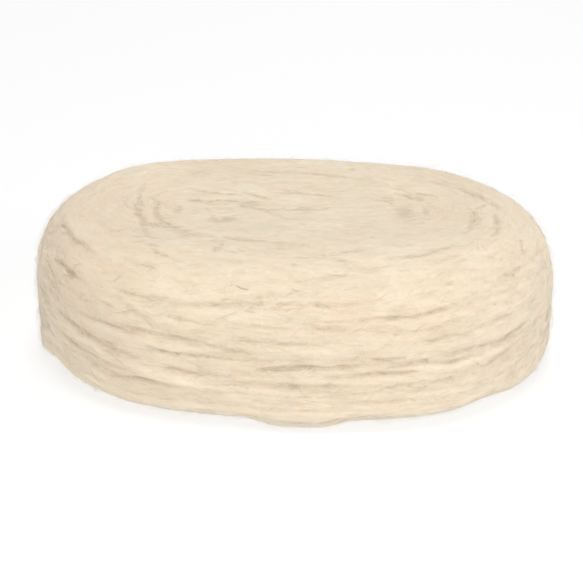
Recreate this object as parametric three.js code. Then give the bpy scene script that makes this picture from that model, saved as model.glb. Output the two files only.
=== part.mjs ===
// A plate of unspun lopi: one soft, untwisted wool roving wound flat round a core that has since
// been drawn out, so that the plate has slumped to an oval with a closed slit at its middle.
// The plate is one wound body that stands on its flat foot, with +Z up and its long axis along X.
// Its skin is laid out along the winding: four rows of points follow every turn of the roving,
// from the slit outwards over the top, down the shoulder and the side, and in under the foot.

import * as THREE from "three";

// Driving dimensions of the plate, in millimetres
const PLATE_LENGTH = 180;
const PLATE_HEIGHT = 52;
const SLIT_LENGTH = 76;
const TOP_DISH = 1.8;
const SHOULDER_OUT = 18;
const SHOULDER_DROP = 29;
const FOOT_ROUND = 12.5;
const FOOT_FLAT = 8;

// Outline of the oval: how quickly the slit turns at its ends, and how much fuller than a plain
// stadium the two long flanks are
const SLIT_END_TURN = 3;
const FLANK_BOW = 0.24;

// The winding: turns of roving from the slit to the foot, and the points that describe one turn.
// The columns are crowded towards the flanks, so that they stand evenly along the oval.
const TURNS = 20;
const ROWS_PER_TURN = 4;
const COLUMNS = 64;
const COLUMN_CROWDING = 0.23;

// The roving lies in rounded strands. A turn's four rows are its groove, flank, crest and flank,
// each as a share of the groove's depth.
const TOP_GROOVE = 0.8;
const SIDE_GROOVE = 1.3;
const STRAND_ROWS = [1, 0.35, 0, 0.35];
const GROOVE_CHANGE = 0.6;
const STRAND_DRIFT = 0.9;
const STRAND_SWELL = 0.35;

// The unevenness of the winding is a sum of slow waves along the roving
const WAVES = [
  { share: 0.5, pace: 1.31, lag: 1.0 },
  { share: 0.3, pace: 2.17, lag: 2.6 },
  { share: 0.2, pace: 4.63, lag: 4.1 },
];
const GROOVE_PHASE = 0.4;
const DRIFT_PHASE = 1.9;
const SWELL_PHASE = 3.3;

// Strands that stand proud and the main grooves between turns. Each runs round the plate between
// two angles in degrees, with 0 at +X, 90 at the back and 270 at the front, and lies at two
// distances from the slit, measured over the skin. Its half width and its rise are in millimetres.
const FOLDS = [
  { name: "proud strand, left", from: 222, to: 247, start: 70, end: 74.5, half: 2.2, rise: 1.5 },
  { name: "proud strand, front", from: 247, to: 282, start: 75, end: 79.5, half: 2.2, rise: 1.2 },
  { name: "groove below it, left", from: 222, to: 249, start: 74, end: 79, half: 1.8, rise: -2.0 },
  { name: "groove below it, front", from: 250, to: 264, start: 79.5, end: 83.5, half: 1.8, rise: -1.2 },
  { name: "left side groove", from: 226, to: 268, start: 66.5, end: 68.5, half: 1.7, rise: -1.3 },
  { name: "front shoulder groove", from: 238, to: 270, start: 62, end: 65, half: 1.7, rise: -1.1 },
  { name: "front middle groove", from: 264, to: 281, start: 70.5, end: 70, half: 1.8, rise: -1.6 },
  { name: "front lower groove", from: 263, to: 287, start: 77, end: 74, half: 1.7, rise: -1.2 },
  { name: "right middle groove", from: 283, to: 302, start: 69, end: 71, half: 1.7, rise: -1.3 },
  { name: "right long groove", from: 291, to: 322, start: 65.5, end: 68, half: 1.8, rise: -1.7 },
  { name: "right lower groove", from: 299, to: 318, start: 75, end: 73.5, half: 1.7, rise: -1.2 },
  { name: "front rim groove", from: 269, to: 286, start: 44, end: 40, half: 1.6, rise: -0.9 },
  { name: "left shoulder groove", from: 204, to: 232, start: 41.5, end: 43.5, half: 1.9, rise: -1.8 },
  { name: "right back groove", from: 10, to: 56, start: 30, end: 27.5, half: 2.0, rise: -1.4 },
  { name: "left ring", from: 176, to: 238, start: 13.5, end: 23, half: 1.6, rise: -1.3 },
  { name: "right ring", from: 318, to: 356, start: 26, end: 21, half: 1.6, rise: -1.3 },
  { name: "left fold, upper lip", from: 196, to: 224, start: 56, end: 50, half: 2.2, rise: 1.3 },
];
const FOLD_FADE = 7;

// Soft hollows: the two eyes of the slit, the slit itself, and the pocket under the left fold
const HOLLOWS = [
  { name: "left eye", angle: 205, across: 3, radius: 4.5, rise: -2.6 },
  { name: "right eye", angle: 40, across: 2, radius: 4.5, rise: -2.6 },
  { name: "slit, left half", angle: 265, across: 2, radius: 9, rise: -1.0 },
  { name: "slit, right half", angle: 280, across: 2, radius: 9, rise: -1.0 },
  { name: "pocket under the left fold", angle: 226, across: 54, radius: 4.2, rise: -2.8 },
];

// A slack turn has slipped down at the front and fills the rounding of the foot
const SLACK_TURN = { angle: 273, spread: 5.5, push: 5, reach: 8, lift: 1.2 };

// The relief dies away towards the ground, where the wool lies flat
const FOOT_CALM = 5;

const WOOL_COLOUR = 0xf3e7d1;

const { degToRad, radToDeg, smoothstep, lerp, clamp } = THREE.MathUtils;
const FULL_TURN = 2 * Math.PI;
const SLIT_HALF = SLIT_LENGTH / 2;
const WINDING_DEPTH = PLATE_LENGTH / 2 - SLIT_HALF;

// Half of the plate's section, from the slit out over the top and round to the foot. X is the
// depth of wool outside the slit and Y the height above the ground.
function makeSection() {
  const topEdge = WINDING_DEPTH - SHOULDER_OUT;
  const footEdge = WINDING_DEPTH - FOOT_ROUND;
  const shoulderFoot = PLATE_HEIGHT - SHOULDER_DROP;
  const at = (depth, height) => new THREE.Vector2(depth, height);
  const path = new THREE.CurvePath();
  path.add(new THREE.QuadraticBezierCurve(
    at(0, PLATE_HEIGHT - TOP_DISH),
    at(topEdge / 2, PLATE_HEIGHT - TOP_DISH),
    at(topEdge, PLATE_HEIGHT),
  ));
  path.add(new THREE.EllipseCurve(
    topEdge, shoulderFoot, SHOULDER_OUT, SHOULDER_DROP, Math.PI / 2, 0, true,
  ));
  path.add(new THREE.LineCurve(at(WINDING_DEPTH, shoulderFoot), at(WINDING_DEPTH, FOOT_ROUND)));
  path.add(new THREE.EllipseCurve(
    footEdge, FOOT_ROUND, FOOT_ROUND, FOOT_ROUND, 0, -Math.PI / 2, true,
  ));
  path.add(new THREE.LineCurve(at(footEdge, 0), at(footEdge - FOOT_FLAT, 0)));
  return path;
}

const section = makeSection();
const sectionLength = section.getLength();
const turnPitch = sectionLength / TURNS;

// The point of the oval that lies at a depth of wool outside the slit, at an angle round it
function planPoint(depth, angle) {
  const c = Math.cos(angle);
  const s = Math.sin(angle);
  const slitX = SLIT_HALF * Math.tanh(SLIT_END_TURN * c) / Math.tanh(SLIT_END_TURN);
  return new THREE.Vector2(slitX + depth * c, depth * s * (1 + FLANK_BOW * s ** 4));
}

// The plain form, before any relief
function plainPoint(across, angle) {
  const { x: depth, y: height } = section.getPoint(across / sectionLength);
  const plan = planPoint(depth, angle);
  return new THREE.Vector3(plan.x, plan.y, height);
}

// A slow uneven wave between -1 and 1 along the roving, which differs from turn to turn
function wander(winding, phase) {
  return WAVES.reduce(
    (sum, wave) => sum + wave.share * Math.sin(wave.pace * winding + wave.lag * phase),
    0,
  );
}

// The rise of all proud strands and grooves at a place on the skin
function foldRise(across, degrees) {
  let rise = 0;
  for (const fold of FOLDS) {
    const along = clamp((degrees - fold.from) / (fold.to - fold.from), 0, 1);
    const begins = smoothstep(degrees, fold.from - FOLD_FADE, fold.from + FOLD_FADE);
    const ends = 1 - smoothstep(degrees, fold.to - FOLD_FADE, fold.to + FOLD_FADE);
    const offLine = (across - lerp(fold.start, fold.end, along)) / fold.half;
    rise += fold.rise * begins * ends * Math.exp(-(offLine ** 2));
  }
  return rise;
}

// The rise of all hollows at a place on the plain form
const hollowCentres = HOLLOWS.map((hollow) => plainPoint(hollow.across, degToRad(hollow.angle)));
function hollowRise(place) {
  let rise = 0;
  HOLLOWS.forEach((hollow, index) => {
    const far = place.distanceTo(hollowCentres[index]) / hollow.radius;
    rise += hollow.rise * Math.exp(-(far ** 2));
  });
  return rise;
}

// How far the slack turn pushes the foot outwards at an angle and a height
function slackPush(degrees, height) {
  const off = (degrees - SLACK_TURN.angle) / SLACK_TURN.spread;
  const low = clamp(1 - height / SLACK_TURN.reach, 0, 1);
  return SLACK_TURN.push * Math.exp(-(off ** 4)) * low * smoothstep(height, 0, SLACK_TURN.lift);
}

// The angle of a column round the slit
function columnAngle(column) {
  const even = FULL_TURN * column / COLUMNS;
  return even + COLUMN_CROWDING * Math.sin(2 * even);
}

// One point of the skin, at a row and a column of the winding
const lastRow = ROWS_PER_TURN * (TURNS - 1);
function skinPoint(row, column) {
  const angle = columnAngle(column);
  const degrees = radToDeg(angle);
  const turn = Math.floor(row / ROWS_PER_TURN);
  const winding = angle + FULL_TURN * turn;
  const turnsFromEnd = Math.min(row, lastRow - row) / ROWS_PER_TURN;
  const settled = clamp(turnsFromEnd - 1, 0, 1);

  const drift = STRAND_DRIFT * settled * wander(winding, DRIFT_PHASE);
  const across = turnPitch * (row / ROWS_PER_TURN + angle / FULL_TURN) + drift;
  const place = section.getPoint(across / sectionLength);
  const tangent = section.getTangent(across / sectionLength);
  const outward = new THREE.Vector2(-tangent.y, tangent.x);

  const groove = lerp(TOP_GROOVE, SIDE_GROOVE, outward.x);
  const uneven = 1 + GROOVE_CHANGE * wander(winding, GROOVE_PHASE);
  const strand = -groove * uneven * STRAND_ROWS[row % ROWS_PER_TURN];
  const swell = STRAND_SWELL * wander(winding, SWELL_PHASE);
  const marks = foldRise(across, degrees) + hollowRise(plainPoint(across, angle));
  const relief = (strand + swell + marks) * smoothstep(place.y, 0, FOOT_CALM);

  const depth = place.x + outward.x * relief + slackPush(degrees, place.y);
  const height = Math.max(0, place.y + outward.y * relief);
  const plan = planPoint(depth, angle);
  return new THREE.Vector3(plan.x, plan.y, height);
}

// Closes an end of the winding with rungs from its back edge to its front edge. The edge starts
// at the tip at +X, runs along the back to the tip at -X, and comes home along the front.
function rungs(edge, points) {
  const triangles = [];
  let back = 0;
  let front = edge.length - 1;
  while (front - back > 1) {
    const nextBack = points[edge[back + 1]];
    const nextFront = points[edge[front - 1]];
    if (nextBack.x > nextFront.x) {
      triangles.push([edge[back], edge[back + 1], edge[front]]);
      back += 1;
    } else {
      triangles.push([edge[back], edge[front - 1], edge[front]]);
      front -= 1;
    }
  }
  return triangles;
}

// The closed skin: rows of points along the winding, where the end of each turn is the start of
// the next, with rungs across the slit and under the foot
function makePlate() {
  const points = [];
  const places = [];
  for (let row = 0; row <= lastRow + ROWS_PER_TURN; row += 1) {
    const columns = row <= lastRow ? COLUMNS : 1;
    places.push([]);
    for (let column = 0; column < columns; column += 1) {
      places[row].push(points.length);
      points.push(skinPoint(row, column));
    }
  }
  const corner = (row, column) => (
    column < COLUMNS ? places[row][column] : places[row + ROWS_PER_TURN][0]
  );

  const triangles = [];
  for (let row = 0; row < lastRow; row += 1) {
    for (let column = 0; column < COLUMNS; column += 1) {
      const a = corner(row, column);
      const b = corner(row + 1, column);
      const c = corner(row + 1, column + 1);
      const d = corner(row, column + 1);
      triangles.push([a, b, c], [a, c, d]);
    }
  }
  const edgeOf = (row) => {
    const step = [];
    for (let up = ROWS_PER_TURN; up > 0; up -= 1) {
      step.push(places[row + up][0]);
    }
    return [...step, ...places[row]];
  };
  triangles.push(...rungs(edgeOf(0), points));
  triangles.push(...rungs(edgeOf(lastRow), points).map((triangle) => triangle.toReversed()));

  const geometry = new THREE.BufferGeometry().setFromPoints(points);
  geometry.setIndex(triangles.flat());
  return geometry;
}

// The origin is under the middle of the plate, on the ground
function centreOnGround(geometry) {
  geometry.computeBoundingBox();
  const middle = geometry.boundingBox.getCenter(new THREE.Vector3());
  geometry.translate(-middle.x, -middle.y, -geometry.boundingBox.min.z);
  geometry.computeVertexNormals();
  return geometry;
}

const wool = new THREE.MeshStandardMaterial({ color: WOOL_COLOUR, roughness: 0.95, metalness: 0 });
const woundPlate = new THREE.Mesh(centreOnGround(makePlate()), wool);
woundPlate.name = "wound_plate";

const plateOfLopi = new THREE.Group();
plateOfLopi.add(woundPlate);

export default plateOfLopi;
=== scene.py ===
# %% [markdown]
# # A plate of unspun lopi
# Lopi is wool roving that has been carded and drawn but never spun. It is wound flat, turn upon
# turn, into a plate that you could hold on your open hand. This one shows no core: it lies as an
# oval round a closed slit. In this lesson we start from the imported solid, which fixes the size, and
# dress it: first the folds, listed one by one, and the winding as a relief, then fibres that lie
# along the turns, and loose hairs that blur its outline.

# %% Load the frame
import math

import bpy
import numpy as np
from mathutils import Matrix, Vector


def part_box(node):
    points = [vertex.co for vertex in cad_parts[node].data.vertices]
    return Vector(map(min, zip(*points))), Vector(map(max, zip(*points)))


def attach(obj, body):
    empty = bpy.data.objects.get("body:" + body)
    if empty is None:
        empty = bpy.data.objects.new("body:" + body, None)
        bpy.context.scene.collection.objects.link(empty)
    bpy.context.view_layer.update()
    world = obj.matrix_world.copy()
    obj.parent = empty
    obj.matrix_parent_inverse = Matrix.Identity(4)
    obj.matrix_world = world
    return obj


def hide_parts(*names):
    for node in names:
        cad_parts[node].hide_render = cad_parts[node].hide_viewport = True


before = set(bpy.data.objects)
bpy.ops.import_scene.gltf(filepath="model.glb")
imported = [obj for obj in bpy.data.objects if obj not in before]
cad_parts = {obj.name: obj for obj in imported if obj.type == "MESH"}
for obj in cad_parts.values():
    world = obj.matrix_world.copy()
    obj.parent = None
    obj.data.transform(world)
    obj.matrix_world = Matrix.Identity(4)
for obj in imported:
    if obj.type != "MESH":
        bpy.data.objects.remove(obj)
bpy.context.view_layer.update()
NODE = "wound_plate"
MM = 0.001
low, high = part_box(NODE)
plate_length = high.x - low.x
plate_height = high.z - low.z
print(f"the plate is {plate_length / MM:.1f} mm long and {plate_height / MM:.1f} mm tall")

# %% [markdown]
# ## The camera
# A camera placed first keeps every later choice honest, because each piece can be judged from the
# photograph's own angle. The angles and the lens came from fitting the oval's outline: a lens that
# is long for the distance, looking down on the plate from a little to the right.

# %% Place the camera
CAMERA_AZIMUTH = math.radians(5.0)
CAMERA_ELEVATION = math.radians(24.7)
CAMERA_DISTANCE = 540 * MM
CAMERA_LENS = 95.1
CAMERA_DROP = 6.0 * MM
CAMERA_LEFT = 0.7 * MM
CAMERA_NEAR = 10 * MM


def in_scene(name, data):
    """A new object for a mesh, a lamp or a camera, linked to the scene."""
    thing = bpy.data.objects.new(name, data)
    bpy.context.scene.collection.objects.link(thing)
    return thing


def facing(place, aim):
    """The turn that points a camera or a lamp from its place at its aim."""
    return (Vector(aim) - Vector(place)).to_track_quat("-Z", "Y").to_euler()


def place_camera():
    flat = math.cos(CAMERA_ELEVATION)
    back = Vector((
        math.sin(CAMERA_AZIMUTH) * flat,
        -math.cos(CAMERA_AZIMUTH) * flat,
        math.sin(CAMERA_ELEVATION),
    ))
    right = Vector((math.cos(CAMERA_AZIMUTH), math.sin(CAMERA_AZIMUTH), 0))
    middle = Vector((0, 0, plate_height / 2))
    aim = middle - back.cross(right) * CAMERA_DROP - right * CAMERA_LEFT
    camera = in_scene("camera", bpy.data.cameras.new("camera"))
    camera.data.lens = CAMERA_LENS
    camera.data.clip_start = CAMERA_NEAR
    camera.location = middle + back * CAMERA_DISTANCE
    camera.rotation_euler = facing(camera.location, aim)
    bpy.context.scene.camera = camera


place_camera()
print(f"the camera is {CAMERA_DISTANCE / MM:.0f} mm from the middle of the plate")

# %% [markdown]
# ## The plain form
# A wound thing is easiest to describe in its own terms: how far round it you are, and how far out
# from the slit you have come over the skin. A short section gives depth and height for every
# distance across, and a formula bends the straight slit into the oval. Modelling by hand would
# give the same shape, but then nothing would know where the winding runs.

# %% Sizes of the form
SLIT_HALF = 38 * MM
SLIT_END_TURN = 3.0
FLANK_BOW = 0.235
FLUFF = 0.4 * MM
TOP_DISH = 0.5 * MM
SHOULDER_OUT = 24 * MM
SHOULDER_EASE = 0.7
SHOULDER_DROP = 27 * MM
FOOT_ROUND = 10 * MM

winding_depth = plate_length / 2 - SLIT_HALF
top_edge = winding_depth - SHOULDER_OUT
foot_edge = winding_depth - FOOT_ROUND
print(f"the wool is {winding_depth / MM:.0f} mm deep all round the slit")

# %% The section
STRETCH_POINTS = 200


def section_points():
    """Depth outside the slit and height above the table, from the slit out to the foot and in."""
    t = np.linspace(0, 1, STRETCH_POINTS)
    quarter = t * math.pi / 2
    crown = plate_height + FLUFF
    shoulder_foot = crown - SHOULDER_DROP
    stretches = [
        (top_edge * t, crown - TOP_DISH * (1 + np.cos(math.pi * t)) / 2),
        (
            top_edge + SHOULDER_OUT * np.sin(quarter) ** SHOULDER_EASE,
            shoulder_foot + SHOULDER_DROP * np.cos(quarter),
        ),
        (winding_depth + 0 * t, shoulder_foot + (FOOT_ROUND - shoulder_foot) * t),
        (foot_edge + FOOT_ROUND * np.cos(quarter), FOOT_ROUND * (1 - np.sin(quarter))),
        (foot_edge * (1 - t), 0 * t),
    ]
    depth = np.concatenate([stretch[0] for stretch in stretches])
    height = np.concatenate([stretch[1] for stretch in stretches])
    across = np.concatenate([[0], np.cumsum(np.hypot(np.diff(depth), np.diff(height)))])
    return across, depth, height


section_across, section_depth, section_height = section_points()
across_end = section_across[-1]
across_foot = across_end - foot_edge
print(f"from the slit to the foot is {across_foot / MM:.0f} mm over the skin")


# %% Places on the form
def plan_points(depth, angle):
    """The oval at a depth of wool outside the slit."""
    c, s = np.cos(angle), np.sin(angle)
    x = SLIT_HALF * np.tanh(SLIT_END_TURN * c) / math.tanh(SLIT_END_TURN) + depth * c
    y = depth * s * (1 + FLANK_BOW * s ** 4)
    return x, y


def section_at(across):
    """Depth and height at a distance across."""
    return [np.interp(across, section_across, values) for values in (section_depth, section_height)]


def skin_points(across, angle):
    """Places on the plain form, for arrays of distance across and angle round."""
    depth, height = section_at(across)
    x, y = plan_points(depth, angle)
    return np.stack([x, y, height + 0 * x], axis=-1)


# %% [markdown]
# ## Folds one by one
# The rule of the winding gives even turns, and a real plate isn't even. Some turns stand proud,
# some gaps are deep and dark, the left end has a fold with a pocket under it, and one slack turn
# has slipped down at the front of the foot. All this could be sculpted, but a stroke can't be moved
# later. So each fold is a row in a table, read off in the plate's own sizes: angles in
# degrees with the front at 270, and distances from the slit over the skin in millimetres.

# %% Turns that stand proud
PROUD_TURNS = [
    # from, to, start, end, half width, rise, and a bend if it has one
    (228, 258, 72.5, 79.5, 1.7, 0.7, -1.2),
    (256, 271, 79.3, 81, 1.6, 0.5),
    (243, 256, 66.3, 67.2, 1.5, 0.5),
    (249, 256, 55, 59, 1.5, 0.4),
    (269, 276, 66.6, 66.2, 1.3, 0.4),
    (266, 290, 76, 76.5, 1.4, 0.4),
    (287, 302, 73.6, 74, 1.3, 0.5),
    (300, 316, 74.4, 73, 1.5, 0.5),
    (290, 306, 82.3, 82, 1.6, 0.4),
    (308, 325, 60.5, 60, 1.5, 0.4),
    (263, 283, 87.8, 87.8, 2, 0.4),
    (198, 236, 40.5, 43, 2, 0.6),
    (194, 226, 56.5, 49.5, 2.2, 0.9),
]
print(f"{len(PROUD_TURNS)} turns stand proud")

# %% Creases on the left half of the side
LEFT_CREASES = [
    # from, to, start, end, half width, depth, and a bend if it has one
    (246, 255, 52.3, 53.4, 0.6, 1),
    (255, 268, 53.7, 51.6, 0.8, 0.5),
    (261, 267, 52.7, 52, 1, 0.6),
    (248, 255, 56.5, 61, 1.2, 0.4),
    (239, 244, 56.8, 57.3, 1.2, 0.3),
    (257, 262, 57.5, 59, 0.5, 0.9),
    (264, 274, 58.6, 58.6, 0.5, 0.6),
    (237, 249, 64, 64.8, 0.8, 0.9),
    (250, 258, 63.3, 64, 0.6, 1, -0.3),
    (248, 260, 65, 66, 1.4, 0.4),
    (265, 271, 62.6, 63.1, 1, 0.6),
    (266, 271, 63.4, 63.8, 0.4, 0.5),
    (259, 268, 64.5, 67, 0.6, 0.7, 0.4),
    (226, 234, 68.4, 70.2, 1, 0.9),
    (236, 246, 70.9, 72.9, 1.3, 0.9),
    (246, 252.5, 72.4, 72.6, 0.9, 0.9),
    (253, 256, 68.6, 69.4, 0.5, 0.8),
    (256, 268, 69.9, 69.6, 0.5, 0.9),
    (258, 264, 75.7, 75.7, 0.6, 0.8),
    (255, 264, 74.8, 75, 1.6, 0.5),
    (227, 233.5, 76, 77.2, 0.7, 1.1),
    (233, 247, 77.2, 78.4, 0.6, 0.7),
    (237, 247, 79.2, 81.4, 1.5, 0.8),
    (249, 254, 81.7, 80.7, 0.5, 1),
    (247, 254, 82.2, 82.6, 1.4, 0.4),
    (253, 259, 81.2, 81.6, 0.5, 0.6),
    (255, 264, 85.2, 86.2, 0.8, 0.6),
    (263, 266, 82.2, 82.2, 0.5, 0.5),
    (231, 240, 87.8, 89, 0.6, 0.7),
    (217, 230, 52.4, 53.6, 0.9, 1.3),
    (228, 232, 69.3, 69.6, 0.7, 0.6),
    (210, 213, 78.6, 79.2, 0.9, 1),
    (199, 203, 54, 55.6, 0.7, 0.8),
    (209, 218, 55.3, 58.5, 0.6, 0.8),
    (212, 229, 60.2, 62.5, 0.8, 0.7),
    (203, 214, 67, 68, 0.9, 0.7),
]

# %% Creases in the middle of the side
FRONT_CREASES = [
    (268, 274, 49.2, 47.5, 0.7, 0.4),
    (271, 282, 51.6, 50.4, 0.6, 0.7),
    (267, 272, 53.4, 53.2, 0.5, 0.5),
    (274, 277, 58.6, 58.8, 1.2, 0.7),
    (271, 276, 63.5, 63.5, 0.6, 0.5),
    (268.5, 273, 72.9, 72.4, 0.7, 1.3),
    (271.5, 274.5, 72, 71.7, 0.6, 0.9),
    (274, 278, 71.6, 71.4, 0.5, 0.6),
    (277, 279, 70.9, 70.9, 0.7, 0.9),
    (265, 273.5, 79, 78.4, 1.4, 0.8),
    (272, 276, 78.2, 78, 0.5, 0.8),
    (276, 279, 77.7, 77.6, 0.5, 0.5),
    (276, 278, 74.6, 74.6, 0.5, 0.5),
    (277, 282, 74.4, 73.4, 0.7, 0.5),
    (270, 274, 84.3, 84.2, 0.8, 0.4),
    (275, 286, 56.4, 55.8, 0.6, 0.7),
    (275, 282, 58.2, 59.1, 0.8, 0.5, 0.4),
    (277, 282, 68.8, 68.5, 0.7, 0.6),
    (282, 285, 68.7, 68.6, 0.5, 0.9),
    (281, 287, 69.5, 69.3, 1.6, 0.5),
    (280, 286, 74.2, 74.1, 0.7, 0.9),
    (283, 287, 80, 78.6, 0.7, 1.3),
    (287, 290, 79.6, 79.7, 0.5, 0.9),
    (280, 288, 84.5, 83.7, 0.6, 0.8),
    (275.2, 277.2, 93, 91.5, 0.9, 1.2),
    (271, 275, 93, 93.2, 1.2, 0.5),
]

# %% Creases on the right half of the side
RIGHT_CREASES = [
    (285, 294, 55.7, 54.6, 0.6, 1.1),
    (291, 296, 54.6, 53.8, 0.6, 0.5),
    (282, 286, 59.6, 58.8, 1.2, 0.4),
    (285, 292, 60.9, 60.2, 0.8, 0.4),
    (291, 297, 59.9, 59, 0.6, 0.7),
    (290, 301, 64, 63.3, 0.7, 0.9),
    (294, 311, 68.5, 70.8, 1.2, 0.7),
    (311, 322, 70, 69, 0.8, 1.1),
    (285, 290, 71.6, 70.8, 0.6, 0.9),
    (291, 302, 71.7, 72.6, 0.6, 0.9),
    (285, 290, 74.3, 73.7, 0.6, 0.7),
    (291, 298, 78.2, 78.3, 0.7, 0.5),
    (303, 307, 76.8, 76.6, 0.5, 0.6),
    (306, 316, 63.2, 62.2, 0.8, 0.8),
    (303, 315, 56.8, 57.8, 0.8, 0.5),
    (296, 300, 52.6, 53.2, 0.6, 0.4),
    (321, 333, 73.5, 69.3, 0.7, 0.5),
    (308.5, 316, 75.7, 75, 0.8, 0.9),
    (312, 327, 78.5, 79.5, 0.8, 0.4),
    (298, 312, 82.5, 83.5, 0.8, 0.4),
    (325, 331, 73.6, 71, 0.6, 0.6),
    (294, 300, 68.6, 69.3, 1.4, 0.6),
    (321, 326, 81.6, 81, 0.8, 0.5),
]
SIDE_CREASES = LEFT_CREASES + FRONT_CREASES + RIGHT_CREASES
print(f"{len(SIDE_CREASES)} creases are on the side")

# %% Creases on the left half of the top and the shoulder
TOP_LEFT_CREASES = [
    (203, 227, 43, 43.9, 0.9, 1.2),
    (150, 200, 19.5, 16, 0.9, 0.8, -1.8),
    (196, 233, 15.8, 21, 1, 1.2, -0.9),
    (231, 244, 20.5, 28.5, 0.9, 1),
    (188, 241, 9.4, 17.6, 1, 1.3, -2.6),
    (238, 246, 21.8, 20.4, 0.8, 0.8),
    (241, 258, 17.9, 28.2, 2.2, 0.5),
    (250.5, 254, 36.8, 38, 0.6, 1),
    (250, 253, 42.6, 43.2, 0.6, 0.7),
    (244, 251, 43, 42.8, 0.9, 0.4),
    (242, 248, 32.5, 35, 1, 0.4),
    (256.5, 261, 11.5, 11.2, 1.8, 1.3),
    (251, 257, 3.5, 11, 0.9, 0.5),
    (262, 266, 25, 25.8, 0.7, 1.4),
    (266, 270, 26.6, 27, 0.5, 0.7),
    (260.6, 261.8, 36, 28.5, 0.9, 0.4),
    (263, 265, 33.5, 33.5, 0.6, 0.7),
    (262, 265, 38, 38.6, 0.6, 0.5),
    (260.4, 262, 1, 1.3, 0.6, 1),
    (262.8, 267, 1.2, 6.3, 0.8, 1),
    (97, 100, 0.6, 1.9, 0.6, 0.9),
    (95, 98.5, 5.6, 8.2, 0.7, 1.1),
    (103, 112, 7.6, 10, 0.7, 1.2),
    (99, 112, 2.4, 1.6, 0.6, 1),
    (267, 275, 3.2, 1.5, 0.9, 0.8),
    (92, 97, 26, 26, 0.6, 0.9),
    (94, 98, 21.5, 23.3, 0.7, 0.7),
    (106, 110, 21.5, 21.5, 1.2, 0.5),
]

# %% Creases on the right half of the top and the shoulder
TOP_RIGHT_CREASES = [
    (85, 93, 8.3, 10, 0.6, 1.1),
    (82, 94, 22.8, 25.2, 0.7, 0.8),
    (82, 83, 29.2, 28.7, 0.8, 0.8),
    (67, 74, 5, 7, 0.7, 1),
    (51, 64, 10.8, 12, 0.8, 1.3),
    (51, 60, 16.2, 15.6, 0.7, 0.8),
    (11, 52, 31.1, 26.7, 1.2, 1),
    (10, 28, 31.2, 29.6, 0.8, 0.6),
    (5, 11, 25.2, 27, 0.8, 1.1),
    (325, 358, 27, 23, 1, 1.2),
    (331, 352, 35.3, 31, 0.9, 1.1),
    (332, 337, 46.2, 43.6, 0.8, 1.1),
    (314, 319, 42.5, 42.3, 0.6, 0.5),
    (312, 323, 51.8, 49.7, 1, 0.7),
    (302, 310, 40.6, 40.4, 0.8, 0.4),
    (293, 304, 35.1, 32, 0.7, 0.6),
    (297, 302, 38.4, 38, 0.6, 0.6),
    (286, 293, 35.2, 34.4, 0.6, 0.7),
    (279, 283, 39.8, 40.5, 0.8, 0.5),
    (273, 281, 34.2, 30.4, 0.8, 0.6),
    (276.8, 278.2, 36, 36.2, 0.6, 0.6),
    (271, 272, 37.3, 38.3, 0.6, 0.6),
    (275, 278, 42.4, 42.4, 0.7, 0.6),
    (269, 279, 45, 42.6, 0.6, 0.5, -0.3),
    (282, 284, 45.3, 45.4, 0.6, 0.7),
    (287, 290, 45.3, 45.4, 0.6, 0.6),
    (295, 298, 47.1, 46.8, 0.6, 0.7),
    (291, 293, 49, 49.3, 0.8, 0.6),
    (301, 308, 48.5, 48, 0.8, 0.4),
]
TOP_CREASES = TOP_LEFT_CREASES + TOP_RIGHT_CREASES
print(f"{len(TOP_CREASES)} creases are on the top and the shoulder")

# %% [markdown]
# ## Sides that the photograph hides
# The back and the far ends don't show, so their creases are a guess. New rows could be made up for
# them, but borrowed ones are sure to look like the same winding: the creases of the front, carried
# round to the other sides, spread out and moved a little.

# %% Creases carried round
HIDDEN_DEPTH = 0.85
SHOULDER_FROM = 37
SHOULDER_CREASES = [row for row in TOP_CREASES if min(row[2], row[3]) > SHOULDER_FROM]


def turned(rows, about, to, stretch, shift):
    """Creases turned from one angle to another, spread out and moved a little."""
    borrowed = []
    for start_at, end_at, start, end, half, depth, *bend in rows:
        first = (start_at - about) * stretch + to
        last = (end_at - about) * stretch + to
        borrowed.append((first, last, start + shift, end + shift, half, HIDDEN_DEPTH * depth, *bend))
    return borrowed


HIDDEN_CREASES = turned(SIDE_CREASES, about=270, to=90, stretch=1.0, shift=1.5)
HIDDEN_CREASES += turned(FRONT_CREASES, about=278, to=178, stretch=2.2, shift=-1.5)
HIDDEN_CREASES += turned(SHOULDER_CREASES, about=270, to=90, stretch=1.0, shift=3.0)
HIDDEN_CREASES += turned(FRONT_CREASES, about=278, to=2, stretch=2.2, shift=1.0)
print(f"{len(HIDDEN_CREASES)} creases are carried round to the hidden sides")

# %% [markdown]
# ## Hollows, tones and slack turns
# Not all is a line along the winding. There are hollows, patches of warmer wool, broad swells, and
# slack turns that bulge or draw in at the foot. A brush could push and paint them, but as rows
# they too can be moved later.

# %% Hollows
# Each hollow sinks the skin a little and also gets painted shade through the shade mark.
HOLLOWS = [
    # angle, across, half sizes along X, Y and Z, depth
    (237, 7, 1.5, 3, 9, 1.5),
    (261.2, 32, 1, 2.4, 9, 0.8),
    (118, 2, 3, 1.6, 9, 0.9),
    (186, 15.5, 1.4, 4, 9, 0.7),
    (308, 2, 3, 5, 9, 1.2),
    (300, 11, 3.5, 6, 9, 0.5),
    (345, 7.5, 1.3, 4, 9, 0.8),
    (228, 53.6, 2.2, 2.2, 1.5, 0.7),
]
print(f"{len(HOLLOWS)} hollows sink into the wool")

# %% Patches of warmer wool
WARM_PATCHES = [
    # angle, across, half sizes along X, Y and Z, strength
    (236, 50, 20, 16, 10, 0.9),
    (277, 55, 18, 6, 7, 0.6),
    (291, 53, 7, 5, 8, 0.6),
    (252, 83, 20, 8, 5, 0.7),
    (185, 24, 24, 34, 18, 0.9),
    (0, 20, 20, 26, 16, 0.5),
    (98, 24, 22, 6, 9, 0.4),
    (226, 62, 22, 20, 18, 0.5),
]
print(f"{len(WARM_PATCHES)} patches are warmer")

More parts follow.
